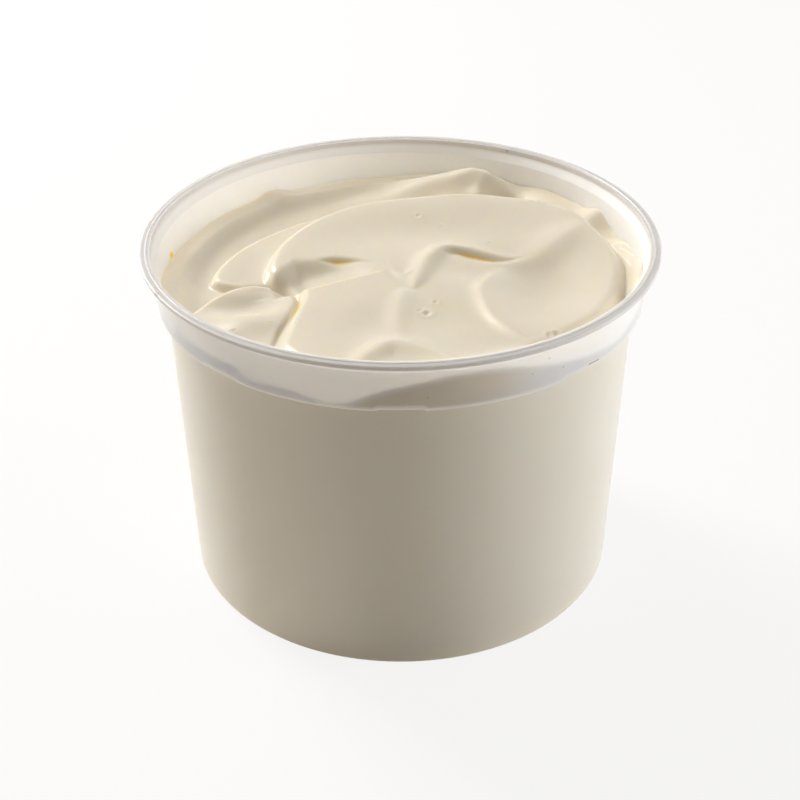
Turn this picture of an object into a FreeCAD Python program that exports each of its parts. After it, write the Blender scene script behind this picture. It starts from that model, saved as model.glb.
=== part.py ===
"""A round plastic tub, open and full of thick cream, in millimetres.

The tub is one thin-walled moulding: a tapered body, a wider collar above a stacking ledge, and a flat
rim that a lid would snap on to. The cream fills it to just under the rim, and its top lies in the folds
that a spoon leaves. The tub stands on z = 0 with its axis on +Z, and its front faces -Y.
"""
import FreeCAD
import Part
import math
import os

# Driving dimensions of the tub.
tub_height = 83.7            # table to the top of the raised line on the rim
collar_height = 12.9         # that top down to the underside of the stacking ledge
collar_radius = 55.85        # outside of the collar where it meets the ledge
base_radius = 51.0           # outside of the body at the table
ledge_width = 2.05           # how far the ledge steps in from the collar to the body
rim_width = 2.4              # the rim's flat top, from its inner to its outer edge
rim_depth = 1.1              # height of the rim's outer face
bead_inset = 1.5             # outer edge of the rim to the fine raised line round its top
bead_width = 0.7
bead_height = 0.25
seat_depth = 1.2             # short upright lip inside the rim, where a lid's plug would sit
shoulder_depth = 1.9         # slope below that lip, down to the collar
shoulder_width = 1.3         # how far that slope comes in
draft_deg = 2.2              # taper of the collar, so that the moulding leaves its mould
wall = 0.8                   # thickness of the side walls and of the ledge
floor = 1.1                  # thickness of the bottom
foot_width = 3.2             # ring that the tub stands on
foot_height = 0.8            # how far the bottom is raised inside that ring
edge_round = 1.4             # rounding where the wall meets the bottom
ledge_round = 0.5            # rounding of the ledge's lower edge
rim_round = 0.35             # rounding of the rim's edges
gate_radius = 1.6            # small flat nub that the moulding leaves under the bottom
gate_height = 0.3

# Stacking notches: short raised stretches of the ledge, so that empty tubs don't jam together.
notch_pitch_deg = 43.0       # spacing of the notches, counted from the front
notches_each_side = 3        # the last notch is at the back
notch_width = 8.9            # length of a notch's raised stretch
notch_rise = 0.65
notch_slope = 1.1            # run of each sloped end

# The cream's top. Heights count up from its ground, the hollow that runs round inside the wall.
# Places and widths are drawn for a tub of pattern_radius inside, and spread with the real one.
pattern_radius = 55.05
ground_depth = 12.0          # top of the rim's flat down to the ground
bank_middle = 47.6           # middle of the slope up to the low bank that lies against the wall
bank_width = 7.0             # width of that slope
bank_height = 1.9
layer_blend = 0.5            # how soft the line is where one layer of cream meets another
surface_steps = 92           # spacings between the points that the top passes through
route_steps = 4              # straight pieces between two points of a route
fold_reach = 3.2             # a fold ends at this many times its width
fold_end_width = 0.4         # share of its width that a fold keeps where its lift runs out

# Thick layers: the outline of the foot, the height, and how far the edge takes to round over.
lobe_outline = [
    (-32.2, -1.5), (-31.6, 5), (-29, 13), (-22.5, 22.8), (-12, 30.8), (0, 34.8), (14, 36.6), (27, 35.4),
    (37.4, 30.8), (46.4, 20.8), (51.4, 8), (52, -4), (50, -16), (44, -28), (31, -41), (14, -50), (-4, -53),
    (-18, -49), (-26.8, -39), (-26.4, -30), (-25, -22), (-24.2, -14), (-27, -9.6), (-30.8, -6),
]
wave_outline = [
    (-50, -31), (-47.5, -22), (-43.5, -14.5), (-38.5, -9.8), (-33, -7.2), (-28, -7.4), (-23.4, -10),
    (-18, -15.5), (-17, -21), (-17, -30), (-20, -40), (-36, -45), (-47, -38),
]
terrace_outline = [
    (-43.2, -4), (-44, -1), (-43.4, 2.4), (-41.8, 7.6), (-37.8, 15.2), (-31.6, 22.4), (-24.4, 28.6),
    (-14.6, 34.6), (-4, 38.2), (6, 36), (4, 16), (-14, -4), (-33, -7), (-39, -6.4),
]
layers = [
    (terrace_outline, 2.5, 2.6),
    (lobe_outline, 5.6, 4.6),
    (wave_outline, 4.6, 2.4),
]
# Soft rises and hollows: middle x, y, half-widths, turn in degrees, height.
swells = [
    # the lobe's nose dips, and so does the ground left of it
    (-28.5, -9, 4.5, 4.5, 0, -1.2), (-34, 0, 4, 8, -15, -0.3),
    # the wave at the back, the bank at the right back, a bump at the left back
    (9, 46, 12, 5, 0, 4.6), (20, 45.5, 7.5, 5, 10, 3.9), (27.5, 37.5, 3.4, 3.4, 0, -1.6),
    (14, 38.5, 7, 4, 0, 1.6), (-7, 42, 9, 4.5, 5, 1.0), (44, 35, 10, 9, -45, 2.2),
    (-33.2, 44.6, 6.6, 4.2, -35, 1.5),
    # the bowl at the right, and shallow dips in the lobe
    (35, -11, 13, 17, 15, -3.0), (13, -4, 6, 5, -20, -0.5),
    (-7, -30, 6, 9, -25, -0.8), (8, -29, 7, 8, 0, -0.5), (6, 16, 22, 9, 5, -0.7),
    # the wave at the left front: low in front, hollow behind its crest, a small inner rise
    (-36, -33, 13, 12, 0, -2.0), (-34, -17.2, 9, 4.2, 8, -2.1), (-34, -27.5, 7, 5.5, 12, 1.9),
]
# Where the cream stands higher or lower on the wall: turn from +X, lift, half-turn, reach inwards.
wall_rises = [
    (-74, 5.9, 22, 5), (-104, -2.4, 7, 4), (-8, 5.6, 14, 3.5), (13, 1.2, 4, 2.5), (28, 3.0, 5, 6.5),
    (50, 1.8, 7, 4), (72, 2.1, 7, 4), (84, 0.7, 6, 2.5), (162, -1.0, 12, 4), (115, -0.6, 6, 3),
]
# Folds: a route of (x, y, lift) points, the width on its left and right, and how squarely it falls off.
folds = [
    # crest along the lobe's back
    ([(-29, 3, 0), (-22.5, 16, 0.8), (-11, 27, 1.3), (5, 31.5, 1.4), (22, 32, 1.5), (36, 26, 1.4),
      (45, 14, 1.3), (48, -2, 1.3), (45, -16, 1.3), (38, -28, 1.2), (28, -36, 0)], 3.5, 11.0),
    # the hollow under the lobe, behind the front lobe's lip
    ([(-28.3, -13, -0.2), (-24.5, -11.9, -2.2), (-21, -11, -3.5), (-17.5, -9.6, -3.3), (-14, -7.9, -2.6),
      (-10, -6.2, -1.7), (-6, -4.6, -0.5), (-3.5, -3.6, 0)], 10.5, 1.6, 5.5),
    # the dark end of that hollow, under the lip
    ([(-17, 1.0, 0), (-13, 1.0, -0.8), (-10, 0.6, -1.1), (-7.6, -0.5, -0.6), (-5.4, -2.0, 0)],
     0.8, 1.6, 1.6),
    # the crevice beside the wave at the left front
    ([(-25.4, -11.4, 0), (-22.8, -15, -0.8), (-22.9, -19.5, -1.1), (-24.6, -26, -0.7), (-26.4, -33, -0.6),
      (-27.5, -42, 0)], 0.8, 0.9),
    # creases and lip of the small wave in the middle
    ([(-4.6, -3, 0), (-3.0, -5.4, -0.2), (-1.4, -8.0, -0.4), (0.2, -10.5, 0)], 1.0, 1.0),
    ([(-2.8, 3, 0), (-2.0, -2.5, 0.15), (-0.4, -6.6, 0.2), (1.4, -7, 0.2), (3.2, -3.6, 0)], 1.1, 1.0),
    ([(2.6, -14, 0), (3.9, -10.5, 0.8), (5.3, -5, 1.3), (7.2, 1.3, 1.5), (10.3, 6, 1.3), (15.2, 5.8, 1.0),
      (20, 4.2, 0.6), (27, 3, 0)], 3.2, 2.0),
    ([(9.5, 3.2, 0), (12.6, 4.6, -0.6), (16.5, 3.5, -0.9), (20, 2.4, -0.8), (24, 1.8, -0.5),
      (29, 3, 0)], 0.8, 1.5, 1.6),
    # crest that runs out to the right
    ([(22, 1, 0), (28, 0.8, 0.7), (34, 5.4, 1.2), (38.4, 10.4, 1.2), (42, 14.5, 0.7), (46, 19, 0)],
     5.6, 4.6, 1.8),
    # the long curved edge of the bowl
    ([(24, -2, 0), (21.4, -6.6, 0.9), (18.6, -12, 1.3), (18.1, -16.2, 1.35), (19.1, -23.6, 1.3),
      (21.3, -30, 1.2), (25.5, -35.8, 1.0), (32, -41, 0)], 7.5, 2.2, 1.7),
    # the spine of the wave at the back
    ([(23.5, 47.5, 0), (22.2, 43.5, 1.2), (20.9, 40.5, 2.2), (20, 38.2, 2.0), (19.2, 36, 0)], 8.0, 3.4),
    # the front
    ([(-14, -51, 0), (-8, -45.5, 0.9), (-2.5, -39.8, 1.4), (3, -41.5, 1.2), (9, -45.5, 0.8), (16, -50, 0)],
     3.6, 3.0),
    ([(0, -38, 0), (-0.7, -27, 0.5), (0.8, -17, 0.5), (1, -13, 0)], 2.5, 2.5),
]

axis_foot = FreeCAD.Vector(0, 0, 0)
axis_way = FreeCAD.Vector(0, 0, 1)

# Sizes that follow from those above.
rim_top = tub_height - bead_height
rim_under = rim_top - rim_depth
seat_foot = rim_top - seat_depth
shoulder_foot = seat_foot - shoulder_depth
ledge_height = tub_height - collar_height
ledge_inside = ledge_height + wall
cavity_floor = foot_height + floor
taper = math.tan(math.radians(draft_deg))
body_top_radius = collar_radius - ledge_width
collar_top_radius = collar_radius + (shoulder_foot - ledge_height) * taper
collar_inside = collar_top_radius - wall
seat_radius = collar_inside + shoulder_width
rim_inner_radius = seat_radius + seat_depth * taper
rim_radius = rim_inner_radius + rim_width
bead_radius = rim_radius - bead_inset
ground_level = rim_top - ground_depth
spread = (collar_radius - wall) / pattern_radius


def body_radius(height):
    """Outside radius of the tapered body at a height."""
    return base_radius + (body_top_radius - base_radius) * height / ledge_height


def flat(radius, height):
    """A point of a section through the axis."""
    return FreeCAD.Vector(radius, 0, height)


def ring(corners):
    """Revolve a closed section round the axis; each corner is (radius, height) or adds a rounding."""
    edges = []
    points = [flat(corner[0], corner[1]) for corner in corners]
    ends = []
    for index, corner in enumerate(corners):
        here = points[index]
        rounding = corner[2] if len(corner) > 2 else 0
        if not rounding:
            ends.append((here, here))
            continue
        back = (points[index - 1] - here).normalize()
        ahead = (points[(index + 1) % len(points)] - here).normalize()
        half = back.getAngle(ahead) / 2
        start = here + back * (rounding / math.tan(half))
        end = here + ahead * (rounding / math.tan(half))
        bisector = (back + ahead).normalize()
        middle = here + bisector * (rounding / math.sin(half) - rounding)
        edges.append(Part.Arc(start, middle, end).toShape())
        ends.append((start, end))
    for index, (_, leaving) in enumerate(ends):
        arriving = ends[(index + 1) % len(ends)][0]
        edges.append(Part.makeLine(leaving, arriving))
    section = Part.Face(Part.Wire(Part.__sortEdges__(edges)))
    return section.revolve(axis_foot, axis_way, 360)


def notch_wedges(rise_from, inside, outside):
    """One wedge per notch, from just below the ledge's level up by the rise, as a list of solids."""
    below = rise_from - 1
    top = rise_from + notch_rise
    half = notch_width / 2
    foot = half + notch_slope * (1 + notch_rise) / notch_rise
    corners = [(-foot, below), (foot, below), (half, top), (-half, top)]
    loop = [FreeCAD.Vector(x, -outside, z) for x, z in corners]
    wedge = Part.Face(Part.makePolygon(loop + loop[:1])).extrude(FreeCAD.Vector(0, outside - inside, 0))
    turns = [notch_pitch_deg * k for k in range(-notches_each_side, notches_each_side + 1)] + [180]
    wedges = []
    for turn in turns:
        turned = wedge.copy()
        turned.rotate(axis_foot, axis_way, turn)
        wedges.append(turned)
    return wedges


def outer_form():
    """The tub's outside as a full solid, with the notches cut up into its ledge."""
    collar_foot = (collar_radius, ledge_height, ledge_round)
    collar_head = (collar_top_radius, shoulder_foot)
    flare = (seat_radius + wall, rim_under)
    foot_inside = base_radius - edge_round - foot_width
    solid = ring([
        (0, foot_height - gate_height), (gate_radius, foot_height - gate_height),
        (gate_radius, foot_height), (foot_inside - foot_height, foot_height), (foot_inside, 0),
        (base_radius, 0, edge_round), (body_top_radius, ledge_height),
        collar_foot, collar_head, flare, (rim_radius, rim_under, rim_round),
        (rim_radius, rim_top, rim_round), (bead_radius + bead_width / 2, rim_top),
        (bead_radius, tub_height, bead_width / 4), (bead_radius - bead_width / 2, rim_top),
        (0, rim_top),
    ])
    for wedge in notch_wedges(ledge_height, body_top_radius, rim_radius):
        solid = solid.cut(wedge)
    return solid


def cavity_form():
    """The room inside the tub, up past its rim, with the ledge raised over each notch."""
    inside_ledge = body_radius(ledge_inside) - wall
    floor_radius = body_radius(cavity_floor) - wall
    solid = ring([
        (0, cavity_floor), (floor_radius, cavity_floor, edge_round),
        (inside_ledge, ledge_inside, ledge_round), (collar_radius - wall, ledge_inside),
        (collar_inside, shoulder_foot), (seat_radius, seat_foot),
        (rim_inner_radius, rim_top), (rim_inner_radius, tub_height + 1), (0, tub_height + 1),
    ])
    for wedge in notch_wedges(ledge_inside, inside_ledge, rim_radius):
        solid = solid.cut(wedge)
    return solid


def smooth_step(share):
    """0 up to 0, 1 from 1 on, and a smooth rise between."""
    share = min(max(share, 0.0), 1.0)
    return share * share * (3 - 2 * share)


def softer_max(first, second):
    """The higher of two levels, with a soft line where they meet."""
    gap = first - second
    return (first + second + math.sqrt(gap * gap + layer_blend * layer_blend)) / 2


def swell(x, y, middle_x, middle_y, half_x, half_y, turn_deg, height):
    """A soft rise, or with a negative height a soft hollow."""
    turn = math.radians(turn_deg)
    across = ((x - middle_x) * math.cos(turn) + (y - middle_y) * math.sin(turn)) / half_x
    along = ((y - middle_y) * math.cos(turn) - (x - middle_x) * math.sin(turn)) / half_y
    return height * math.exp(-across * across - along * along)


def wall_rise(x, y, turn_deg, lift, half_turn, depth):
    """A stretch where the cream stands higher, or with a negative lift lower, on the wall."""
    apart = (math.degrees(math.atan2(y, x)) - turn_deg + 180) % 360 - 180
    inwards = max(pattern_radius - math.hypot(x, y), 0)
    return lift * math.exp(-(apart / half_turn) ** 2 - (inwards / depth) ** 2)


def smooth_route(points, closed=False):
    """A smooth line that passes through the given points, and back to the first one if closed."""
    count = len(points)
    route = []
    for index in range(count if closed else count - 1):
        if closed:
            near = [points[(index + step) % count] for step in (-1, 0, 1, 2)]
        else:
            near = [points[min(max(index + step, 0), count - 1)] for step in (-1, 0, 1, 2)]
        for step in range(route_steps):
            t = step / route_steps
            weights = ((2 * t * t - t ** 3 - t) / 2, (3 * t ** 3 - 5 * t * t + 2) / 2,
                       (t + 4 * t * t - 3 * t ** 3) / 2, (t ** 3 - t * t) / 2)
            route.append([sum(weight * point[k] for weight, point in zip(weights, near))
                          for k in range(len(points[0]))])
    route.append(points[0] if closed else points[-1])
    return route


def foot_on(x, y, start, end):
    """How far along a straight piece a point lies, from 0 to 1, and how far from it, squared."""
    way_x, way_y = end[0] - start[0], end[1] - start[1]
    share = ((x - start[0]) * way_x + (y - start[1]) * way_y) / (way_x * way_x + way_y * way_y)
    share = min(max(share, 0), 1)
    off_x, off_y = x - start[0] - share * way_x, y - start[1] - share * way_y
    return share, off_x * off_x + off_y * off_y


def layer_top(x, y, route, height, edge_width):
    """Height of a layer with a flat top and a rounded edge, and 0 outside its outline."""
    inside = False
    nearest = edge_width * edge_width
    for start, end in zip(route, route[1:]):
        if (start[1] > y) != (end[1] > y):
            cut = start[0] + (y - start[1]) * (end[0] - start[0]) / (end[1] - start[1])
            inside ^= x < cut
        nearest = min(nearest, foot_on(x, y, start, end)[1])
    if not inside:
        return 0
    return height * (1 - (1 - math.sqrt(nearest) / edge_width) ** 3)


def fold_lift(x, y, route, left_width, right_width, power=2.0):
    """How far a fold lifts the cream at a point: full on its route, falling off to either side."""
    nearest = (fold_reach * max(left_width, right_width)) ** 2
    side, lift = 0, 0
    for start, end in zip(route, route[1:]):
        share, apart = foot_on(x, y, start, end)
        if apart < nearest:
            nearest = apart
            side = (end[0] - start[0]) * (y - start[1]) - (end[1] - start[1]) * (x - start[0])
            lift = start[2] + share * (end[2] - start[2])
    strength = abs(lift) / max(abs(point[2]) for point in route)
    width = (fold_end_width + (1 - fold_end_width) * strength) * (left_width if side > 0 else right_width)
    return lift * math.exp(-(math.sqrt(nearest) / width) ** power)


def cream_height(x, y, layer_routes, fold_routes):
    """Height of the cream's top above its ground, at a place of the pattern."""
    height = bank_height * smooth_step((math.hypot(x, y) - bank_middle) / bank_width + 0.5)
    for layer in layer_routes:
        height = softer_max(height, layer_top(x, y, *layer))
    height += sum(swell(x, y, *place) for place in swells)
    height += sum(wall_rise(x, y, *rise) for rise in wall_rises)
    return height + sum(fold_lift(x, y, *fold) for fold in fold_routes)


def cream_form(cavity):
    """The cream: all of the cavity below its folded top."""
    layer_routes = [(smooth_route(outline, closed=True), *shape) for outline, *shape in layers]
    fold_routes = [(smooth_route(points), *shape) for points, *shape in folds]
    reach = rim_inner_radius + wall
    places = [reach * (2 * k / surface_steps - 1) for k in range(surface_steps + 1)]
    grid = []
    for x in places:
        levels = [cream_height(x / spread, y / spread, layer_routes, fold_routes) for y in places]
        grid.append([FreeCAD.Vector(x, y, ground_level + level) for y, level in zip(places, levels)])
    top = Part.BSplineSurface()
    top.interpolate(grid)
    below = top.toShape().extrude(FreeCAD.Vector(0, 0, -2 * tub_height))
    return cavity.common(below)


def write_node(name, shape):
    """Check that a node is one sound solid, and write it."""
    solid = shape.Solids[0]
    if len(shape.Solids) != 1 or not solid.isValid():
        raise ValueError(f"{name} is {len(shape.Solids)} solids, valid {solid.isValid()}")
    solid.exportStep(f"parts/{name}.step")
    box = solid.BoundBox
    print(f"{name}: {solid.Volume / 1000:.1f} cm3, z {box.ZMin:.2f} to {box.ZMax:.2f}")


os.makedirs("parts", exist_ok=True)
cavity = cavity_form()
write_node("tub", outer_form().cut(cavity))
write_node("cream", cream_form(cavity))
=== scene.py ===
# %% [markdown]
# # A tub of thick cream
# A thin plastic tub, open, and filled to just under its rim with thick cream that a spoon has folded.
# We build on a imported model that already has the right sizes: it gives us the tub and a plain form of
# the cream. In this lesson we light it, give the tub its milky plastic, and make the cream's folds.

# %% The frame: what we are given
import bpy
import math
import numpy as np
from mathutils import Matrix, Vector


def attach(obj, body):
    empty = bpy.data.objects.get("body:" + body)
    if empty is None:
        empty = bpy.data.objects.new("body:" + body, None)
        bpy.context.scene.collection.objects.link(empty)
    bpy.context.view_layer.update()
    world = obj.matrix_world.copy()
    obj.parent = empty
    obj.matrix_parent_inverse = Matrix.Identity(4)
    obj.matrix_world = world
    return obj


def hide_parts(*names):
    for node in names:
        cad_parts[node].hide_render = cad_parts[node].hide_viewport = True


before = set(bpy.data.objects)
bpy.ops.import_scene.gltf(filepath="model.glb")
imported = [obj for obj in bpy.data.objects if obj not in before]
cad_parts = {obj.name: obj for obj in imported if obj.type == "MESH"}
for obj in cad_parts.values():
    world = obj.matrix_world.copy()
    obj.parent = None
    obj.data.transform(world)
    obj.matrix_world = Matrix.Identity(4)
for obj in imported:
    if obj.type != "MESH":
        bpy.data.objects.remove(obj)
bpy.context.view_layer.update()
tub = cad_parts["tub"]
print("nodes:", sorted(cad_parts))

# %% [markdown]
# ## Camera
# We look down into the tub at about 32 degrees, with a long lens, so that the rim is a calm ellipse and
# the body hardly narrows by perspective. We place the camera by its distance and height angle round a
# point on the tub's axis, because those two numbers say what the view is, and a position wouldn't.

# %% Camera
camera_distance = 0.3951
camera_elevation = math.radians(31.57)
camera_roll = math.radians(-0.313)
tilt_trim, pan_trim = 0.00128, -0.00068      # radians: the view's middle is a hair off the aim point
aim_point = Vector((0, 0, 0.040))
lens_mm = 73.44
sensor_mm = 36

back = Vector((0, -math.cos(camera_elevation), math.sin(camera_elevation)))
tilt = math.pi / 2 - camera_elevation - tilt_trim
camera_data = bpy.data.cameras.new("camera")
camera_data.lens = lens_mm
camera_data.sensor_width = sensor_mm
camera_data.clip_start = 0.01
camera = bpy.data.objects.new("camera", camera_data)
bpy.context.collection.objects.link(camera)
camera.matrix_world = (
    Matrix.Translation(aim_point + back * camera_distance)
    @ Matrix.Rotation(-pan_trim, 4, "Z")
    @ Matrix.Rotation(tilt, 4, "X")
    @ Matrix.Rotation(camera_roll, 4, "Z")
)
bpy.context.scene.camera = camera
print("camera at", tuple(round(v, 4) for v in camera.matrix_world.translation))

# %% [markdown]
# ## Light and floor
# Cream shows its folds only when light grazes them, so the main lamp is a large soft one, high behind the
# tub to the left. A second one at the right keeps that side open, a small one behind the left edge draws
# a thin bright edge there, and two wide weak ones soften the shade. The front is left in soft shade. The
# world adds a plain even light, and shows itself as white to the camera and in reflections.

# %% A helper for lamps, and the lamps
lamp_target = Vector((0, 0, 0.05))


def soft_lamp(name, place, size, watts, colour):
    data = bpy.data.lights.new(name, "AREA")
    data.shape = "DISK"
    data.size = size
    data.energy = watts
    data.color = colour
    lamp = bpy.data.objects.new(name, data)
    bpy.context.collection.objects.link(lamp)
    lamp.location = place
    lamp.rotation_euler = (lamp_target - Vector(place)).to_track_quat("-Z", "Y").to_euler()


warm_white = (1, 0.985, 0.965)
soft_lamp("key_lamp", (-0.50, 0.52, 0.60), 0.34, 6.2, warm_white)
soft_lamp("side_lamp", (0.74, -0.04, 0.13), 0.36, 4.3, (0.97, 0.985, 1))
soft_lamp("left_fill", (-0.85, 0.05, 0.25), 0.60, 1.4, (1, 0.945, 0.87))
soft_lamp("edge_lamp", (-0.58, 0.42, 0.10), 0.14, 1.5, (1, 0.99, 0.98))
soft_lamp("top_fill", (-0.35, 0.45, 0.80), 0.70, 2.0, warm_white)

# %% [markdown]
# ### Small helpers for nodes
# A material's nodes can be wired one by one, but the same few steps come back all the time. So each gets a
# short function here: a sum, a soft mask between two values, one colour laid over another, and a shader
# that is white to the camera and in reflections but plain to all the light that reaches the tub.

# %% Small helpers for nodes
def maths(nodes, links, operation, *values):
    node = nodes.new("ShaderNodeMath")
    node.operation = operation
    for socket, value in zip(node.inputs, values):
        if isinstance(value, (int, float)):
            socket.default_value = value
        else:
            links.new(value, socket)
    return node.outputs[0]


def soft_band(nodes, links, value, low, high, down=False):
    mask = nodes.new("ShaderNodeMapRange")
    mask.interpolation_type = "SMOOTHSTEP"
    mask.inputs["From Min"].default_value = low
    mask.inputs["From Max"].default_value = high
    mask.inputs["To Min"].default_value = 1 if down else 0
    mask.inputs["To Max"].default_value = 0 if down else 1
    links.new(value, mask.inputs["Value"])
    return mask.outputs["Result"]


def layered(nodes, links, below, above, mask):
    mix = nodes.new("ShaderNodeMix")
    mix.data_type = "RGBA"
    links.new(mask, mix.inputs["Factor"])
    links.new(below, mix.inputs["A"])
    links.new(above, mix.inputs["B"])
    return mix.outputs["Result"]


def white_when_seen(nodes, links, plain, white, camera_share):
    path = nodes.new("ShaderNodeLightPath")
    seen = maths(nodes, links, "MULTIPLY", path.outputs["Is Camera Ray"], camera_share)
    mix = nodes.new("ShaderNodeMixShader")
    links.new(maths(nodes, links, "MAXIMUM", seen, path.outputs["Is Glossy Ray"]), mix.inputs["Fac"])
    links.new(plain, mix.inputs[1])
    links.new(white, mix.inputs[2])
    return mix.outputs["Shader"]


print("helpers:", [f.__name__ for f in (maths, soft_band, layered, white_when_seen)])

# %% The world: plain light, and white to the camera and in reflections
world_light = 0.22
world_colour = (1, 0.915, 0.80, 1)
world = bpy.data.worlds.new("studio")
bpy.context.scene.world = world
world.use_nodes = True
nodes, links = world.node_tree.nodes, world.node_tree.links
nodes.clear()
output = nodes.new("ShaderNodeOutputWorld")
even = nodes.new("ShaderNodeBackground")
even.inputs["Color"].default_value = world_colour
even.inputs["Strength"].default_value = world_light
white = nodes.new("ShaderNodeBackground")
white.inputs["Color"].default_value = (1, 1, 1, 1)
links.new(white_when_seen(nodes, links, even.outputs["Background"], white.outputs["Background"], 1.0),
          output.inputs["Surface"])
print("world light:", world_light)

# %% The floor: nearly white to the camera, white in reflections, and it keeps the tub's shadow
bpy.context.scene.view_settings.view_transform = "Standard"
floor_half = 3.0
floor_glow = 0.85            # how much of what the camera sees is plain white, and not lit paper
paper_colour = (0.80, 0.77, 0.73, 1)
floor_mesh = bpy.data.meshes.new("floor")
floor_mesh.from_pydata([(-floor_half, -floor_half, 0), (floor_half, -floor_half, 0),
                        (floor_half, floor_half, 0), (-floor_half, floor_half, 0)], [], [(0, 1, 2, 3)])
floor = bpy.data.objects.new("floor", floor_mesh)
bpy.context.collection.objects.link(floor)
paper = bpy.data.materials.new("paper_floor")
paper.use_nodes = True
nodes, links = paper.node_tree.nodes, paper.node_tree.links
nodes.clear()
output = nodes.new("ShaderNodeOutputMaterial")
matt = nodes.new("ShaderNodeBsdfDiffuse")
matt.inputs["Color"].default_value = paper_colour
glow = nodes.new("ShaderNodeEmission")
links.new(white_when_seen(nodes, links, matt.outputs["BSDF"], glow.outputs["Emission"], floor_glow),
          output.inputs["Surface"])
floor_mesh.materials.append(paper)
print("floor:", 2 * floor_half, "m square")

# %% [markdown]
# ## Effects that both finishes share
# Neither moulded plastic nor cream has one even tone: both drift a little over a few centimetres. And both
# carry small marks. We make each effect once, as a shader node group with its own inputs, and each finish
# sets its own values. A mark is all that lies near a short line, so one group makes dots and streaks.

# %% The node group for drifting tone
def tone_drift_group():
    group = bpy.data.node_groups.new("tone_drift", "ShaderNodeTree")
    face = group.interface
    for name, kind in (("Tone A", "NodeSocketColor"), ("Tone B", "NodeSocketColor"),
                       ("Patch Size", "NodeSocketFloat"), ("Stretch", "NodeSocketVector")):
        face.new_socket(name, in_out="INPUT", socket_type=kind)
    face.new_socket("Color", in_out="OUTPUT", socket_type="NodeSocketColor")
    nodes, links = group.nodes, group.links
    given = nodes.new("NodeGroupInput")
    result = nodes.new("NodeGroupOutput")
    place = nodes.new("ShaderNodeTexCoord")
    scaled = nodes.new("ShaderNodeVectorMath")
    scaled.operation = "MULTIPLY"
    noise = nodes.new("ShaderNodeTexNoise")
    noise.inputs["Detail"].default_value = 3
    noise.inputs["Roughness"].default_value = 0.5
    spread = nodes.new("ShaderNodeMapRange")
    spread.inputs["From Min"].default_value = 0.3
    spread.inputs["From Max"].default_value = 0.7
    blend = nodes.new("ShaderNodeMix")
    blend.data_type = "RGBA"
    links.new(place.outputs["Object"], scaled.inputs[0])
    links.new(given.outputs["Stretch"], scaled.inputs[1])
    links.new(scaled.outputs[0], noise.inputs["Vector"])
    links.new(given.outputs["Patch Size"], noise.inputs["Scale"])
    links.new(noise.outputs["Fac"], spread.inputs["Value"])
    links.new(spread.outputs["Result"], blend.inputs["Factor"])
    links.new(given.outputs["Tone A"], blend.inputs["A"])
    links.new(given.outputs["Tone B"], blend.inputs["B"])
    links.new(blend.outputs["Result"], result.inputs["Color"])
    return group


tone_drift = tone_drift_group()
print("group", tone_drift.name, "gives", [s.name for s in tone_drift.interface.items_tree])

# %% The node group for a mark: all that is nearer than Half Width to a line from Start to End
full_to, gone_at = 0.3, 1.3  # a mark fades out between these shares of its half width


def mark_group():
    group = bpy.data.node_groups.new("mark", "ShaderNodeTree")
    face = group.interface
    for name in ("Start", "End"):
        face.new_socket(name, in_out="INPUT", socket_type="NodeSocketVector")
    face.new_socket("Half Width", in_out="INPUT", socket_type="NodeSocketFloat")
    face.new_socket("Mask", in_out="OUTPUT", socket_type="NodeSocketFloat")
    nodes, links = group.nodes, group.links
    given = nodes.new("NodeGroupInput")
    result = nodes.new("NodeGroupOutput")
    place = nodes.new("ShaderNodeTexCoord")

    def vectors(operation, first, second, scale=None):
        node = nodes.new("ShaderNodeVectorMath")
        node.operation = operation
        links.new(first, node.inputs[0])
        if second is not None:
            links.new(second, node.inputs[1])
        if scale is not None:
            links.new(scale, node.inputs["Scale"])
        return node.outputs["Value" if operation in ("DOT_PRODUCT", "LENGTH") else "Vector"]

    line = vectors("SUBTRACT", given.outputs["End"], given.outputs["Start"])
    here = vectors("SUBTRACT", place.outputs["Object"], given.outputs["Start"])
    share = maths(nodes, links, "DIVIDE",
                  vectors("DOT_PRODUCT", here, line), vectors("DOT_PRODUCT", line, line))
    share = maths(nodes, links, "MINIMUM", maths(nodes, links, "MAXIMUM", share, 0.0), 1.0)
    apart = vectors("LENGTH", vectors("SUBTRACT", here, vectors("SCALE", line, None, share)), None)
    widths = maths(nodes, links, "DIVIDE", apart, given.outputs["Half Width"])
    links.new(soft_band(nodes, links, widths, full_to, gone_at, down=True), result.inputs["Mask"])
    return group


mark = mark_group()
print("group", mark.name, "gives", [s.name for s in mark.interface.items_tree])


# %% Lay a list of marks over a colour
def with_marks(nodes, links, base, marks):
    for start, end, half_width, colour in marks:
        used = nodes.new("ShaderNodeGroup")
        used.node_tree = mark
        used.inputs["Start"].default_value = start
        used.inputs["End"].default_value = end
        used.inputs["Half Width"].default_value = half_width
        mix = nodes.new("ShaderNodeMix")
        mix.data_type = "RGBA"
        mix.inputs["B"].default_value = (*colour, 1)
        links.new(used.outputs["Mask"], mix.inputs["Factor"])
        links.new(base, mix.inputs["A"])
        base = mix.outputs["Result"]
    return base


# %% [markdown]
# ## The cream's form
# Thick cream keeps every fold that a spoon gives it. We could sculpt it, but then nobody could change it
# later, so we add up simple named forms instead: flat layers with a soft edge, swells, and long folds that
# follow a route. All sizes are in millimetres here, and become metres when we make the mesh.

# %% Sizes of the cream, in millimetres
tub_top = 83.45              # flat of the rim
ground = tub_top - 12.0      # hollow ground that the layers lie on
wall_inside = 55.05          # inside radius of the collar at the ledge
layer_blend = 0.5
bank_middle, bank_width, bank_height = 47.6, 7.0, 1.9
print("the cream's ground is at", round(ground, 2), "mm")

# %% [markdown]
# ### Thick layers
# A spoon lays cream down in thick flat lobes that overlap. Each layer is an outline of its foot, a height,
# and how far its edge takes to round over; where two layers meet, the higher one wins, softly.

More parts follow.
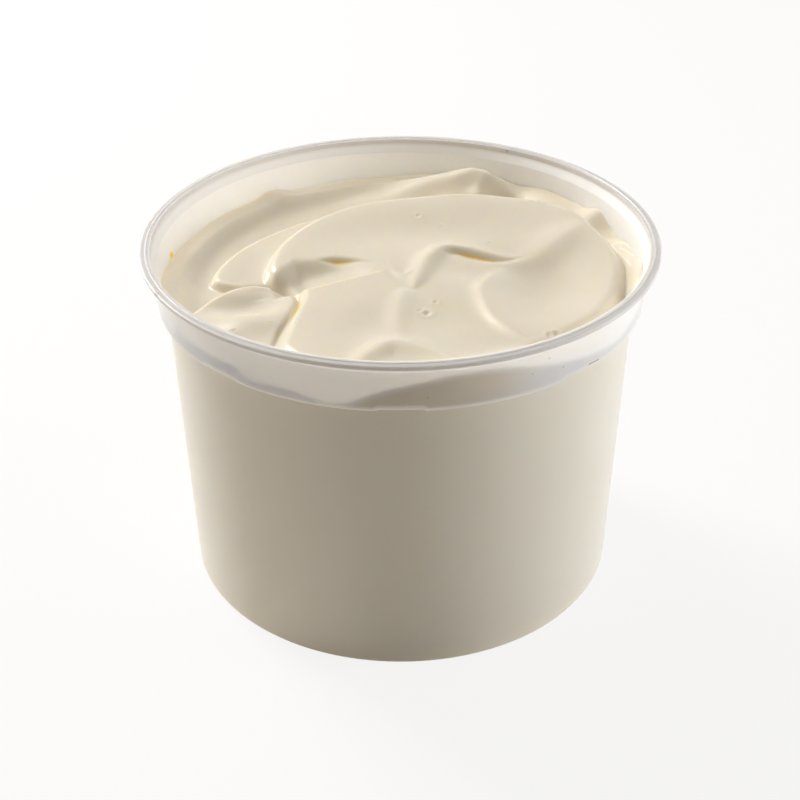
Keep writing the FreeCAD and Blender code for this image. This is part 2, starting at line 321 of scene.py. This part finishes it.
# %% Layers: outline, height, edge
lobe_outline = [
    (-32.2, -1.5), (-31.6, 5), (-29, 13), (-22.5, 22.8), (-12, 30.8), (0, 34.8), (14, 36.6), (27, 35.4),
    (37.4, 30.8), (46.4, 20.8), (51.4, 8), (52, -4), (50, -16), (44, -28), (31, -41), (14, -50), (-4, -53),
    (-18, -49), (-26.8, -39), (-26.4, -30), (-25, -22), (-24.2, -14), (-27, -9.6), (-30.8, -6),
]
wave_outline = [
    (-50, -31), (-47.5, -22), (-43.5, -14.5), (-38.5, -9.8), (-33, -7.2), (-28, -7.4), (-23.4, -10),
    (-18, -15.5), (-17, -21), (-17, -30), (-20, -40), (-36, -45), (-47, -38),
]
terrace_outline = [
    (-43.2, -4), (-44, -1), (-43.4, 2.4), (-41.8, 7.6), (-37.8, 15.2), (-31.6, 22.4), (-24.4, 28.6),
    (-14.6, 34.6), (-4, 38.2), (6, 36), (4, 16), (-14, -4), (-33, -7), (-39, -6.4),
]
layers = [
    (terrace_outline, 2.5, 2.6),
    (lobe_outline, 5.6, 4.6),
    (wave_outline, 4.6, 2.4),
]
print("layers:", len(layers))

# %% [markdown]
# ### Soft rises and hollows
# On the layers the cream bulges and sags a little. Each of these is an oval hill, or a dip where its height
# is negative. Along the wall it also clings higher in some stretches than in others.

# %% Swells: middle x, y, half-widths, turn in degrees, height
swells = [
    # the lobe's nose dips, and so does the ground left of it
    (-28.5, -9, 4.5, 4.5, 0, -1.2), (-34, 0, 4, 8, -15, -0.3),
    # the wave at the back, the bank at the right back, a bump at the left back
    (9, 46, 12, 5, 0, 4.6), (20, 45.5, 7.5, 5, 10, 3.9), (27.5, 37.5, 3.4, 3.4, 0, -1.6),
    (14, 38.5, 7, 4, 0, 1.6), (-7, 42, 9, 4.5, 5, 1.0), (44, 35, 10, 9, -45, 2.2),
    (-33.2, 44.6, 6.6, 4.2, -35, 1.5),
    # the bowl at the right, and shallow dips in the lobe
    (35, -11, 13, 17, 15, -3.0), (13, -4, 6, 5, -20, -0.5),
    (-7, -30, 6, 9, -25, -0.8), (8, -29, 7, 8, 0, -0.5), (6, 16, 22, 9, 5, -0.7),
    # the wave at the left front: low in front, hollow behind its crest, a small inner rise
    (-36, -33, 13, 12, 0, -2.0), (-34, -17.2, 9, 4.2, 8, -2.1), (-34, -27.5, 7, 5.5, 12, 1.9),
]
# Where the cream stands higher or lower on the wall: turn from +X, lift, half-turn, reach inwards.
wall_rises = [
    (-74, 5.9, 22, 5), (-104, -2.4, 7, 4), (-8, 5.6, 14, 3.5), (13, 1.2, 4, 2.5), (28, 3.0, 5, 6.5),
    (50, 1.8, 7, 4), (72, 2.1, 7, 4), (84, 0.7, 6, 2.5), (162, -1.0, 12, 4), (115, -0.6, 6, 3),
]
print("swells:", len(swells), "rises on the wall:", len(wall_rises))

# %% [markdown]
# ### Folds
# Crests and creases are long and narrow, and steeper on one side. Each one follows a route of a few
# (x, y, lift) points, with its own width on the left and on the right, and how squarely it falls off.

# %% Folds: route, left width, right width, squareness
folds = [
    # crest along the lobe's back
    ([(-29, 3, 0), (-22.5, 16, 0.8), (-11, 27, 1.3), (5, 31.5, 1.4), (22, 32, 1.5), (36, 26, 1.4),
      (45, 14, 1.3), (48, -2, 1.3), (45, -16, 1.3), (38, -28, 1.2), (28, -36, 0)], 3.5, 11.0),
    # the hollow under the lobe, behind the front lobe's lip
    ([(-28.3, -13, -0.2), (-24.5, -11.9, -2.2), (-21, -11, -3.5), (-17.5, -9.6, -3.3), (-14, -7.9, -2.6),
      (-10, -6.2, -1.7), (-6, -4.6, -0.5), (-3.5, -3.6, 0)], 10.5, 1.6, 5.5),
    # the dark end of that hollow, under the lip
    ([(-19, 1.2, 0), (-15, 1.4, -0.9), (-12, 1.2, -0.8), (-9, 0.6, -0.35), (-6, -0.6, 0)],
     0.8, 1.6, 1.6),
    # the crevice beside the wave at the left front
    ([(-25.4, -11.4, 0), (-22.8, -15, -0.8), (-22.9, -19.5, -1.1), (-24.6, -26, -0.7), (-26.4, -33, -0.6),
      (-27.5, -42, 0)], 0.8, 0.9),
    # creases and lip of the small wave in the middle
    ([(-4.6, -3, 0), (-3.0, -5.4, -0.15), (-1.4, -8.0, -0.2), (0.2, -10.5, 0)], 1.0, 1.0),
    ([(-2.8, 3, 0), (-2.0, -2.5, 0.15), (-0.4, -6.6, 0.2), (1.4, -7, 0.2), (3.2, -3.6, 0)], 1.1, 1.0),
    ([(2.6, -14, 0), (3.9, -10.5, 0.8), (5.3, -5, 1.3), (7.2, 1.3, 1.5), (10.3, 6, 1.3), (15.2, 5.8, 1.0),
      (20, 4.2, 0.6), (27, 3, 0)], 3.2, 2.0),
    ([(9.5, 3.2, 0), (12.6, 4.6, -0.6), (16.5, 3.5, -0.9), (20, 2.4, -0.8), (24, 1.8, -0.5),
      (29, 3, 0)], 0.8, 1.5, 1.6),
    # crest that runs out to the right
    ([(22, 1, 0), (28, 0.8, 0.7), (34, 5.4, 1.2), (38.4, 10.4, 1.2), (42, 14.5, 0.7), (46, 19, 0)],
     5.6, 4.6, 1.8),
    # the long curved edge of the bowl
    ([(24, -2, 0), (21.4, -6.6, 0.9), (18.6, -12, 1.3), (18.1, -16.2, 1.35), (19.1, -23.6, 1.3),
      (21.3, -30, 1.2), (25.5, -35.8, 1.0), (32, -41, 0)], 7.5, 2.2, 1.7),
    # the spine of the wave at the back
    ([(23.5, 47.5, 0), (22.2, 43.5, 1.2), (20.9, 40.5, 2.2), (20, 38.2, 2.0), (19.2, 36, 0)], 8.0, 3.4),
    # the front
    ([(-14, -51, 0), (-8, -45.5, 0.9), (-2.5, -39.8, 1.4), (3, -41.5, 1.2), (9, -45.5, 0.8), (16, -50, 0)],
     3.6, 3.0),
    ([(0, -38, 0), (-0.7, -27, 0.5), (0.8, -17, 0.5), (1, -13, 0)], 2.5, 2.5),
]
print("folds:", len(folds))

# %% How one form is worked out
def smooth_step(share):
    share = np.clip(share, 0, 1)
    return share * share * (3 - 2 * share)


def softer_max(first, second):
    gap = first - second
    return (first + second + np.sqrt(gap * gap + layer_blend * layer_blend)) / 2


def oval_share(x, y, middle_x, middle_y, half_x, half_y, turn_deg=0):
    turn = math.radians(turn_deg)
    across = (x - middle_x) * math.cos(turn) + (y - middle_y) * math.sin(turn)
    along = (y - middle_y) * math.cos(turn) - (x - middle_x) * math.sin(turn)
    return np.hypot(across / half_x, along / half_y)


def swell(x, y, middle_x, middle_y, half_x, half_y, turn_deg, height):
    return height * np.exp(-oval_share(x, y, middle_x, middle_y, half_x, half_y, turn_deg) ** 2)


def wall_rise(x, y, turn_deg, lift, half_turn, depth):
    apart = (np.degrees(np.arctan2(y, x)) - turn_deg + 180) % 360 - 180
    inwards = np.maximum(wall_inside - np.hypot(x, y), 0)
    return lift * np.exp(-(apart / half_turn) ** 2 - (inwards / depth) ** 2)


# %% A smooth route through a few points, open or closed
def smooth_route(points, closed=False, pieces=8):
    points = np.array(points, float)
    count = len(points)
    route = []
    for index in range(count if closed else count - 1):
        if closed:
            before, start, end, after = (points[(index + k) % count] for k in (-1, 0, 1, 2))
        else:
            before, start = points[max(index - 1, 0)], points[index]
            end, after = points[index + 1], points[min(index + 2, count - 1)]
        for step in range(pieces):
            t = step / pieces
            route.append((2 * start + (end - before) * t + (2 * before - 5 * start + 4 * end - after) * t * t
                          + (3 * start - before - 3 * end + after) * t ** 3) / 2)
    route.append(points[0] if closed else points[-1])
    return route


# %% A layer: how far inside its outline a place is, and its rounded edge
def inside_outline(x, y, route):
    nearest = np.full(x.shape, np.inf)
    within = np.zeros(x.shape, bool)
    for start, end in zip(route, route[1:]):
        way_x, way_y = end[0] - start[0], end[1] - start[1]
        share = ((x - start[0]) * way_x + (y - start[1]) * way_y) / (way_x * way_x + way_y * way_y)
        share = np.clip(share, 0, 1)
        nearest = np.minimum(nearest, np.hypot(x - start[0] - share * way_x, y - start[1] - share * way_y))
        crosses = (start[1] > y) != (end[1] > y)
        level = way_y if way_y else 1
        within ^= crosses & (x < start[0] + (y - start[1]) * way_x / level)
    return np.where(within, nearest, -nearest)


def layer_top(x, y, route, height, edge_width):
    share = np.clip(inside_outline(x, y, route) / edge_width, 0, 1)
    return height * (1 - (1 - share) ** 3)


# %% A fold: full on its route, falling off to either side
narrowest = 0.4              # a fold's width where its lift runs out, as a share of its full width


def fold_lift(x, y, route, left_width, right_width, power=2.0):
    nearest = np.full(x.shape, np.inf)
    side, lift = np.zeros(x.shape), np.zeros(x.shape)
    for start, end in zip(route, route[1:]):
        way_x, way_y = end[0] - start[0], end[1] - start[1]
        length = way_x * way_x + way_y * way_y
        share = np.clip(((x - start[0]) * way_x + (y - start[1]) * way_y) / length, 0, 1)
        apart = (x - start[0] - share * way_x) ** 2 + (y - start[1] - share * way_y) ** 2
        closer = apart < nearest
        nearest = np.where(closer, apart, nearest)
        side = np.where(closer, way_x * (y - start[1]) - way_y * (x - start[0]), side)
        lift = np.where(closer, start[2] + share * (end[2] - start[2]), lift)
    taper = narrowest + (1 - narrowest) * np.abs(lift) / max(abs(point[2]) for point in route)
    width = taper * np.where(side > 0, left_width, right_width)
    return lift * np.exp(-(np.sqrt(nearest) / width) ** power)


# %% All forms together give the cream's height
layer_routes = [(smooth_route(outline, closed=True), height, edge) for outline, height, edge in layers]
fold_routes = [(smooth_route(points), *shape) for points, *shape in folds]


def cream_height(x, y):
    height = bank_height * smooth_step((np.hypot(x, y) - bank_middle) / bank_width + 0.5)
    for layer in layer_routes:
        height = softer_max(height, layer_top(x, y, *layer))
    for place in swells:
        height = height + swell(x, y, *place)
    for rise in wall_rises:
        height = height + wall_rise(x, y, *rise)
    for fold in fold_routes:
        height = height + fold_lift(x, y, *fold)
    return ground + height


# %% [markdown]
# ## The cream's mesh
# A square grid pulled out to a circle has even four-sided faces and an outline that fits the round wall.
# From that outline the mesh goes down inside the tub, a hair into the plastic so that no air gap shows.

# %% A square grid pulled out to a disc
def disc_grid(steps):
    line = np.linspace(-1, 1, steps + 1)
    u, v = np.meshgrid(line, line, indexing="ij")
    wide = np.abs(u) >= np.abs(v)
    reach = np.where(wide, u, v)
    other = np.where(wide, v, u)
    angle = np.where(reach == 0, 0.0, math.pi / 4 * other / np.where(reach == 0, 1, reach))
    along, across = reach * np.cos(angle), reach * np.sin(angle)
    return np.where(wide, along, across), np.where(wide, across, along)


into_wall = 0.15
steps = 250
unit_x, unit_y = disc_grid(steps)
reach = wall_inside + into_wall
top_x, top_y = unit_x * reach, unit_y * reach
top_z = cream_height(top_x, top_y)

# %% Small bubbles that have burst: place, radius and how far the ring round each dimple stands up
ring_place, ring_width, dimple_width = 0.9, 0.4, 0.5      # shares of the bubble's radius
ring_share, dimple_share = 0.7, 1.5                       # shares of the height that the list gives
bubbles = [
    (4.4, 23.2, 1.0, 0.16), (9.8, 18.7, 0.9, 0.10), (7.8, -19.9, 1.0, 0.16), (5.7, -24.8, 1.5, 0.22),
    (4.2, -23.6, 1.0, 0.14), (32.8, -34.8, 1.2, 0.34), (31.4, -35.6, 1.1, 0.26), (34.5, 28.8, 1.0, 0.14),
    (20.7, 10, 0.8, 0.12), (-15, 4.5, 0.8, 0.08), (-28, -27, 0.7, 0.16), (-36, -30, 0.7, 0.16),
    (-22.5, -28, 0.7, 0.16), (-20, 20, 0.8, 0.08),
]
for middle_x, middle_y, radius, height in bubbles:
    apart = np.hypot(top_x - middle_x, top_y - middle_y) / radius
    ring = ring_share * np.exp(-((apart - ring_place) / ring_width) ** 2)
    dimple = dimple_share * np.exp(-(apart / dimple_width) ** 2)
    top_z = top_z + height * (ring - dimple)
print("cream top from", round(float(top_z.min()), 2), "to", round(float(top_z.max()), 2), "mm")

# %% [markdown]
# Rich cream looks yellow where light bounces in a narrow crease many times before it gets out. So each
# point of the mesh keeps how deep it lies in a narrow crease, for the finish to use.

# %% How deep in a narrow crease a place lies, from 0 to 1
narrow_width, deep_enough = 2.5, 0.5


def crease_share(x, y):
    share = np.zeros(x.shape)
    for fold in fold_routes:
        lowest = min(point[2] for point in fold[0])
        if lowest < -deep_enough and max(fold[1:3]) < narrow_width:
            share = np.maximum(share, fold_lift(x, y, *fold) / lowest)
    return share


# %% The solid under that top
# Rings as (radius, height) under the outline: the ledge, the body's wall, which leans in towards the
# bottom and has each ring a hair inside the plastic, and the rounded corner down to the bottom.
body_rings = [(55.1, 71.5), (53.2, 71.5), (53.12, 70.0), (51.93, 40.0), (50.75, 10.0), (50.45, 3.6),
              (49.95, 2.3), (48.9, 1.85)]
sharp_angle = math.radians(50)


def cream_mesh():
    count = steps + 1
    verts = np.column_stack([top_x.ravel(), top_y.ravel(), top_z.ravel()])
    index = np.arange(count * count).reshape(count, count)
    faces = [(a, b, c, d) for a, b, c, d in zip(index[:-1, :-1].ravel(), index[1:, :-1].ravel(),
                                                index[1:, 1:].ravel(), index[:-1, 1:].ravel())]
    edge = np.concatenate([index[:-1, 0], index[-1, :-1], index[:0:-1, -1], index[0, :0:-1]])
    turn = np.arctan2(verts[edge, 1], verts[edge, 0])
    parts, above, start = [verts], edge, len(verts)
    for radius, height in body_rings:
        parts.append(np.column_stack([radius * np.cos(turn), radius * np.sin(turn),
                                      np.full(turn.shape, height)]))
        below = np.arange(start, start + len(edge))
        start += len(edge)
        faces += [(above[k], above[k - 1], below[k - 1], below[k]) for k in range(len(edge))]
        above = below
    parts.append(np.array([[0, 0, body_rings[-1][1]]]))
    faces += [(above[k], above[k - 1], start) for k in range(len(edge))]
    mesh = bpy.data.meshes.new("cream_folds")
    mesh.from_pydata((np.concatenate(parts) / 1000).tolist(), [], [tuple(int(i) for i in f) for f in faces])
    crease = mesh.attributes.new("crease", "FLOAT", "POINT")
    values = np.zeros(len(mesh.vertices), np.float32)
    values[:count * count] = crease_share(top_x, top_y).ravel()
    crease.data.foreach_set("value", values)
    mesh.shade_smooth()
    mesh.set_sharp_from_angle(angle=sharp_angle)
    return mesh


folded_cream = bpy.data.objects.new("cream_folds", cream_mesh())
bpy.context.collection.objects.link(folded_cream)
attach(folded_cream, "root")
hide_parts("cream")
print("cream:", len(folded_cream.data.polygons), "faces")

# %% [markdown]
# ## The tub's milky plastic
# The tub is thin polypropylene: milky, a little warm, with a soft sheen. Light enters it and leaves a
# millimetre or two further on, so the collar glows where air is behind it. Subsurface light does that.

# %% A new finish, and a drifting tone for it
def finish_nodes(name):
    finish = bpy.data.materials.new(name)
    finish.use_nodes = True
    nodes, links = finish.node_tree.nodes, finish.node_tree.links
    nodes.clear()
    output = nodes.new("ShaderNodeOutputMaterial")
    surface = nodes.new("ShaderNodeBsdfPrincipled")
    links.new(surface.outputs["BSDF"], output.inputs["Surface"])
    return finish, nodes, links, surface


def drift(nodes, tone_a, tone_b, patch_size, stretch=(1, 1, 1)):
    used = nodes.new("ShaderNodeGroup")
    used.node_tree = tone_drift
    used.inputs["Tone A"].default_value = (*tone_a, 1)
    used.inputs["Tone B"].default_value = (*tone_b, 1)
    used.inputs["Patch Size"].default_value = patch_size
    used.inputs["Stretch"].default_value = stretch
    return used.outputs["Color"]


# %% The plastic itself
milky_plastic, nodes, links, surface = finish_nodes("milky_plastic")
surface.inputs["Roughness"].default_value = 0.36
surface.inputs["IOR"].default_value = 1.49
surface.inputs["Specular IOR Level"].default_value = 0.4
surface.inputs["Subsurface Weight"].default_value = 1.0
surface.inputs["Subsurface Radius"].default_value = (1.0, 0.92, 0.78)
surface.inputs["Subsurface Scale"].default_value = 0.002


print("plastic:", milky_plastic.name)

# %% [markdown]
# ### Where cream is behind the plastic
# Thin plastic takes on the tone of what lies against it. The body is filled with cream, so it is warm
# all over. On the collar the cream ends in a wavy line, which we work out from the cream's own height
# round the wall. Below that line, only at the front and front right, where the tub lies in shade, the collar
# is painted darker: painted shade over the cream's warm tone. A curve node holds each of these as a soft
# line through a few points all the way round.

# %% A curve node: a soft line through points that run from 0 to 1
def curve_through(nodes, links, value, points):
    node = nodes.new("ShaderNodeFloatCurve")
    curve = node.mapping.curves[0]
    curve.points[0].location, curve.points[-1].location = points[0], points[-1]
    for place, height in points[1:-1]:
        curve.points.new(place, height)
    node.mapping.update()
    links.new(value, node.inputs["Value"])
    return node.outputs["Value"]


# %% The line that the cream leaves on the collar, and how strong the painted shade below it is round the tub
contact_marks = 48                           # points round the wall
contact_low, contact_high = 70.0, 82.0       # millimetres, the range of the curve
fade_under, fade_over = -0.0008, 0.0018      # metres, how softly the painted shade ends at that line
# Turn from +X in degrees, and the painted shade's strength from 0 to 1.
front_shade_stretch = [(-180, 0.0), (-112, 0.0), (-100, 0.8), (-88, 0.9), (-72, 0.8), (-64, 0.5), (-56, 0.22),
                   (-46, 0.1), (-25, 0.04), (-10, 0.0), (180, 0.0)]


def contact_point(share):
    around = -math.pi + 2 * math.pi * share
    height = cream_height(np.array(wall_inside * math.cos(around)), np.array(wall_inside * math.sin(around)))
    return share, (float(height) - contact_low) / (contact_high - contact_low)


place = nodes.new("ShaderNodeTexCoord")
axes = nodes.new("ShaderNodeSeparateXYZ")
links.new(place.outputs["Object"], axes.inputs[0])
x_out, y_out, z_out = axes.outputs
share = nodes.new("ShaderNodeMapRange")
share.inputs["From Min"].default_value = -math.pi
share.inputs["From Max"].default_value = math.pi
links.new(maths(nodes, links, "ARCTAN2", y_out, x_out), share.inputs["Value"])
contact_line = curve_through(nodes, links, share.outputs["Result"],
                             [contact_point(k / contact_marks) for k in range(contact_marks + 1)])
level = nodes.new("ShaderNodeMapRange")
level.inputs["To Min"].default_value = contact_low / 1000
level.inputs["To Max"].default_value = contact_high / 1000
links.new(contact_line, level.inputs["Value"])
under = maths(nodes, links, "SUBTRACT", level.outputs["Result"], z_out)
# how strongly the painted shade under the cream's line shows, turn by turn round the tub
strength = curve_through(nodes, links, share.outputs["Result"],
                         [((turn + 180) / 360, firmness) for turn, firmness in front_shade_stretch])
cream_line_shade = maths(nodes, links, "MULTIPLY", soft_band(nodes, links, under, fade_under, fade_over), strength)
print("contact line:", contact_marks, "points")

# %% [markdown]
# ### The light line over the ledge, the body and the rim
# Where the collar meets the ledge the plastic catches the light as a pale line, which steps up at each
# raised notch, and we paint that highlight in. The rim has no cream behind it, so it looks cooler than the
# filled body.
# We could cut the tub into several materials, but soft masks by how far out and how high a place is leave no
# hard seams.

# %% How far above the ledge's lower edge a place is
ledge_height, notch_rise = 0.0708, 0.00065
notch_pitch, notch_half_turn, notches_each_side = math.radians(43), 0.0797, 3
notch_fade = 1.35            # a notch's end fades out to this share of its half turn
from_front = maths(nodes, links, "ABSOLUTE", maths(
    nodes, links, "ARCTAN2", x_out, maths(nodes, links, "MULTIPLY", y_out, -1.0)))
last_notch = (notches_each_side + 0.5) * notch_pitch
to_notch = maths(nodes, links, "PINGPONG",
                 maths(nodes, links, "MINIMUM", from_front, last_notch), notch_pitch / 2)
to_notch = maths(nodes, links, "MINIMUM", to_notch, maths(nodes, links, "SUBTRACT", math.pi, from_front))
stepped = soft_band(nodes, links, to_notch, notch_half_turn, notch_half_turn * notch_fade, down=True)
edge_height = maths(nodes, links, "MULTIPLY_ADD", stepped, notch_rise, ledge_height)
over_edge = maths(nodes, links, "SUBTRACT", z_out, edge_height)
print("notches at the front and sides:", 2 * notches_each_side + 1)

# %% The tones, laid over each other
flat_patches = (1, 1, 0.35)
tone = drift(nodes, (0.765, 0.765, 0.775), (0.745, 0.745, 0.75), 45, flat_patches)
filled = drift(nodes, (0.81, 0.745, 0.635), (0.79, 0.72, 0.61), 45, flat_patches)
# painted shade: the collar's darker tone below the cream's line, at the shaded front
shaded_collar_tone = drift(nodes, (0.67, 0.61, 0.515), (0.64, 0.575, 0.48), 45, flat_patches)
# painted highlight: the pale line where the collar's foot meets the ledge
highlight_line_tone = drift(nodes, (0.84, 0.82, 0.79), (0.82, 0.795, 0.76), 60)
rim_tone = drift(nodes, (0.63, 0.625, 0.63), (0.61, 0.60, 0.605), 60)
line_full, line_gone, line_strength = 0.0007, 0.0013, 0.8    # metres over the ledge's edge
body_ends, collar_starts = 0.0543, 0.0548                    # metres out from the axis
collar_ends, rim_starts = 0.0815, 0.0825                     # metres up

out = maths(nodes, links, "SQRT", maths(nodes, links, "ADD",
                                         maths(nodes, links, "MULTIPLY", x_out, x_out),
                                         maths(nodes, links, "MULTIPLY", y_out, y_out)))
painted_highlight_line = maths(nodes, links, "MULTIPLY",
                   soft_band(nodes, links, over_edge, line_full, line_gone, down=True), line_strength)
collar = layered(nodes, links, tone, shaded_collar_tone, cream_line_shade)
collar = layered(nodes, links, collar, highlight_line_tone, painted_highlight_line)
whole = layered(nodes, links, filled, collar, soft_band(nodes, links, out, body_ends, collar_starts))
whole = layered(nodes, links, whole, rim_tone, soft_band(nodes, links, z_out, collar_ends, rim_starts))
print("tones on the tub:", 5)

# %% [markdown]
# ### Small marks on the plastic
# This tub has small marks: dark specks, a brown slit, a nick in the rim and a dab of yellow on the inside.
# We could paint them, but a mark needs only a place and a size. We give its turn and height, and find the
# place by a ray that meets the plastic, so that the mark lies on the surface.

# %% Specks, a slit, a nick in the rim and a dab of yellow
outside_start, near_wall = 0.1, 0.05         # metres from the axis


def on_tub(turn, height, inside=False):
    away = Vector((math.cos(math.radians(turn)), math.sin(math.radians(turn)), 0))
    level = Vector((0, 0, height / 1000))
    start, way = (level, away) if inside else (level + away * outside_start, -away)
    met, place, _, _ = tub.ray_cast(start, way)
    return place if met else level + away * near_wall


dark, brown, yellow = (0.44, 0.42, 0.41), (0.48, 0.38, 0.26), (0.83, 0.60, 0.04)
marks = [(on_tub(turn, height), half_width, dark) for turn, height, half_width in (
    (-57.1, 78.3, 0.00022), (-61.1, 75.7, 0.0002), (-52.9, 74.8, 0.00024), (-84.4, 74.2, 0.00018),
    (-88.5, 70.4, 0.00026))]
marks = [(place, place, half_width, colour) for place, half_width, colour in marks]
marks += [
    (on_tub(-44.6, 72.2), on_tub(-41.2, 72.0), 0.00022, brown),
    (on_tub(-152.7, 83.2), on_tub(-151.7, 83.3), 0.0006, (0.42, 0.40, 0.39)),
    (on_tub(61.2, 82.9, inside=True), on_tub(61.2, 82.9, inside=True), 0.0004, (0.45, 0.42, 0.40)),
    (on_tub(168.8, 73.4, inside=True), on_tub(169.6, 73.9, inside=True), 0.0009, yellow),
]
links.new(with_marks(nodes, links, whole, marks), surface.inputs["Base Color"])
print("marks on the plastic:", len(marks))

# %% [markdown]
# ### A faint ripple, and light through the wall
# Moulded plastic is never quite flat, so a weak bump breaks up its reflections. And part of a lamp's light
# goes straight on through the thin wall, so the cream behind it isn't in full shade. A clear, glass-like
# wall would show the cream sharply, and this one doesn't, so we let only a part of the shadow rays through.

# %% Ripple
ripple = nodes.new("ShaderNodeTexNoise")
ripple.inputs["Scale"].default_value = 160
bump = nodes.new("ShaderNodeBump")
bump.inputs["Strength"].default_value = 0.05
bump.inputs["Distance"].default_value = 0.0004
links.new(ripple.outputs["Fac"], bump.inputs["Height"])
links.new(bump.outputs["Normal"], surface.inputs["Normal"])
print("ripple scale:", ripple.inputs["Scale"].default_value)

# %% Light through the wall
wall_pass = 0.75
ray = nodes.new("ShaderNodeLightPath")
clear = nodes.new("ShaderNodeBsdfTransparent")
clear.inputs["Color"].default_value = (1, 0.99, 0.97, 1)
through = nodes.new("ShaderNodeMixShader")
links.new(maths(nodes, links, "MULTIPLY", ray.outputs["Is Shadow Ray"], wall_pass), through.inputs["Fac"])
links.new(surface.outputs["BSDF"], through.inputs[1])
links.new(clear.outputs["BSDF"], through.inputs[2])
links.new(through.outputs["Shader"], nodes["Material Output"].inputs["Surface"])

for index in range(len(tub.data.materials)):
    tub.data.materials[index] = milky_plastic
print("tub finish:", [m.name for m in tub.data.materials], len(tub.data.polygons), "faces")

# %% [markdown]
# ## The cream's finish
# Cream is pale, warm and glossy, and light goes a few millimetres into it, so its shadows stay soft. Its
# gloss could drift as its tone does, but a drifting gloss leaves blotches on pale cream, so it is one even
# value.

# %% The cream's body, and the yellow of bounced light painted into its creases
rich_cream, nodes, links, surface = finish_nodes("rich_cream")
surface.inputs["IOR"].default_value = 1.42
surface.inputs["Subsurface Weight"].default_value = 0.7
surface.inputs["Subsurface Radius"].default_value = (1.0, 0.8, 0.45)
surface.inputs["Subsurface Scale"].default_value = 0.0014
surface.inputs["Roughness"].default_value = 0.25
tone = drift(nodes, (0.80, 0.735, 0.60), (0.78, 0.712, 0.575), 60)
tint_from, tint_full = 0.35, 1.05            # the crease value where the tint starts and is full
depth = nodes.new("ShaderNodeAttribute")
depth.attribute_name = "crease"
# painted bounce light: the yellow tint stands in for light that bounces in narrow creases
painted_bounce_tone = drift(nodes, (0.84, 0.62, 0.20), (0.80, 0.59, 0.19), 60)
deep_part = soft_band(nodes, links, depth.outputs["Fac"], tint_from, tint_full)
creased = layered(nodes, links, tone, painted_bounce_tone, deep_part)
print("cream finish:", rich_cream.name)

# %% [markdown]
# ### Streaks and skin
# A spoon that runs along the wall leaves thin streaks, which catch the light as pale lines. They are too
# fine for the mesh, so their highlights are painted on as marks, laid on the cream's own height. A weak bump
# gives the surface its soft skin.

# %% Painted highlights on thin streaks along the wall at the right
# painted highlight: a pale tone for light glinting on the streaks
streak_half_width, streak_highlight = 0.00028, (0.90, 0.87, 0.80)
streaks = [
    [(50.3, 13.6), (51.7, 8.7), (52.7, 2.6), (52.9, -2.4)],
    [(52.0, 10.9), (53.3, 8.7), (54.4, 4.8)],
    [(50.5, 14.5), (52.3, 13.9), (53.7, 11.4), (54.8, 7.8)],
]


def on_cream(x, y):
    return Vector((x, y, float(cream_height(np.array(x), np.array(y))))) / 1000


streak_highlight_marks = [(on_cream(*a), on_cream(*b), streak_half_width, streak_highlight)
                for route in streaks for a, b in zip(route, route[1:])]
links.new(with_marks(nodes, links, creased, streak_highlight_marks), surface.inputs["Base Color"])
print("streaks:", len(streaks), "of", len(streak_highlight_marks), "pieces")

# %% The cream's skin
skin = nodes.new("ShaderNodeTexNoise")
skin.inputs["Scale"].default_value = 70
skin.inputs["Detail"].default_value = 2
bump = nodes.new("ShaderNodeBump")
bump.inputs["Strength"].default_value = 0.10
bump.inputs["Distance"].default_value = 0.0002
links.new(skin.outputs["Fac"], bump.inputs["Height"])
links.new(bump.outputs["Normal"], surface.inputs["Normal"])
folded_cream.data.materials.append(rich_cream)
print("cream wears:", [m.name for m in folded_cream.data.materials])
